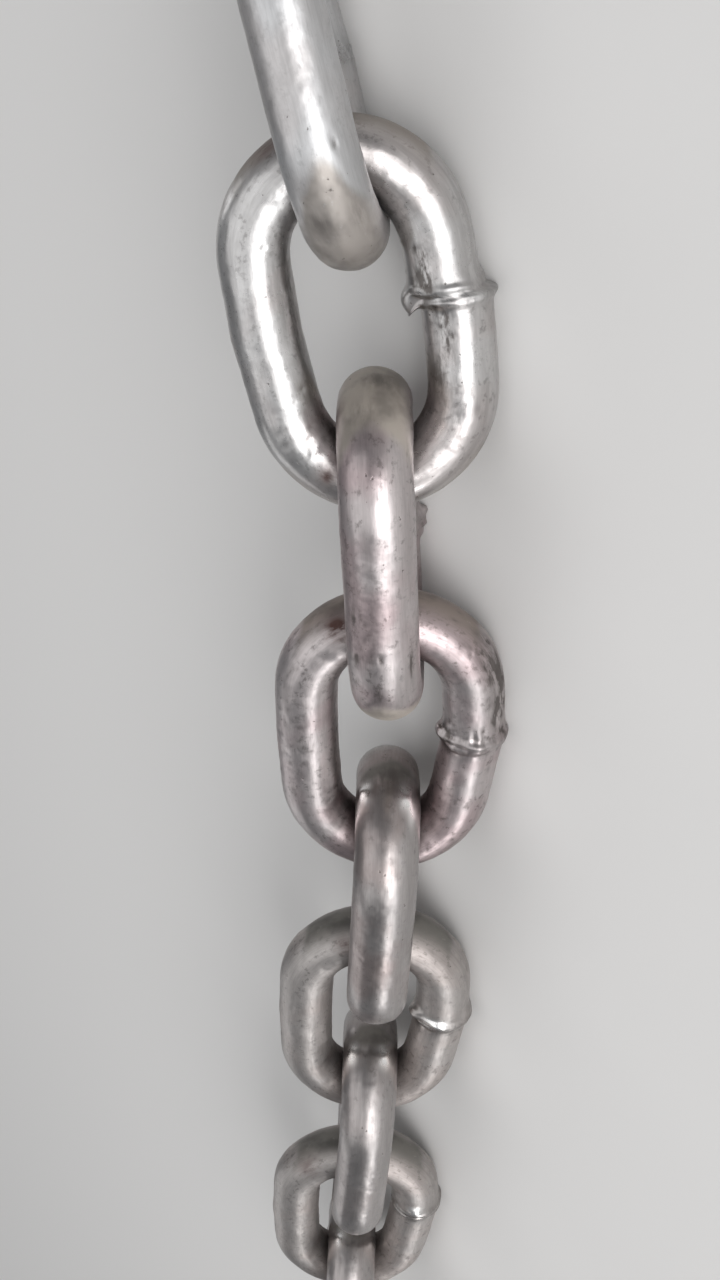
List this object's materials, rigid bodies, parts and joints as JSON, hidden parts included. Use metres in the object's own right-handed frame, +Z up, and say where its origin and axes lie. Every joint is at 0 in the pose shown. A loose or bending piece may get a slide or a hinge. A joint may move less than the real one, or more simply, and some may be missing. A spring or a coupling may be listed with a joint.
{
  "type": "length of steel link chain",
  "caption": "Length of welded steel chain with a zinc finish: interlocked oval links that swing on each other, laid out in a slack curve and fastened by its open end links.",
  "frame": {"origin": "on the floor, under the middle of the outline of the chain as it lies", "axes": "+X along the chain, from link_01 to link_09; +Z up from the floor; +Y to the left of the chain's run"},
  "size_m": [0.3278, 0.0466, 0.028],
  "materials": {
    "zinc_plate": "bright zinc plate, half polished by handling, with grey mottling, small pits and worn crowns"
  },
  "bodies": {
    "link_01": {"link_01": "zinc_plate"},
    "link_02": {"link_02": "zinc_plate"},
    "link_03": {"link_03": "zinc_plate"},
    "link_04": {"link_04": "zinc_plate"},
    "link_05": {"link_05": "zinc_plate"},
    "link_06": {"link_06": "zinc_plate"},
    "link_07": {"link_07": "zinc_plate"},
    "link_08": {"link_08": "zinc_plate"},
    "link_09": {"link_09": "zinc_plate"}
  },
  "joints": [
    {"name": "swing_01_02", "type": "hinge", "parent": "link_01", "child": "link_02", "pos_m": [-0.11642, 0.00353, 0.01402], "axis": [-0.1234, 0.6963, 0.7071], "range_deg": [-90, 90]},
    {"name": "swing_02_03", "type": "hinge", "parent": "link_02", "child": "link_03", "pos_m": [-0.08215, 0.00869, 0.01402], "axis": [-0.0364, 0.7062, -0.7071], "range_deg": [-90, 90]},
    {"name": "swing_03_04", "type": "hinge", "parent": "link_03", "child": "link_04", "pos_m": [-0.04754, 0.00983, 0.01402], "axis": [0.0223, 0.7068, 0.7071], "range_deg": [-90, 90]},
    {"name": "swing_04_05", "type": "hinge", "parent": "link_04", "child": "link_05", "pos_m": [-0.01297, 0.0083, 0.01402], "axis": [-0.0579, -0.7047, 0.7071], "range_deg": [-90, 90]},
    {"name": "swing_05_06", "type": "hinge", "parent": "link_05", "child": "link_06", "pos_m": [0.0215, 0.00521, 0.01402], "axis": [0.0761, 0.703, 0.7071], "range_deg": [-90, 90]},
    {"name": "swing_06_07", "type": "hinge", "parent": "link_06", "child": "link_07", "pos_m": [0.05589, 0.00135, 0.01402], "axis": [0.0828, 0.7022, -0.7071], "range_deg": [-90, 90]},
    {"name": "swing_07_08", "type": "hinge", "parent": "link_07", "child": "link_08", "pos_m": [0.09024, -0.00275, 0.01402], "axis": [0.0837, 0.7021, 0.7071], "range_deg": [-90, 90]},
    {"name": "swing_08_09", "type": "hinge", "parent": "link_08", "child": "link_09", "pos_m": [0.1246, -0.00685, 0.01402], "axis": [-0.0828, -0.7022, 0.7071], "range_deg": [-90, 90]}
  ]
}
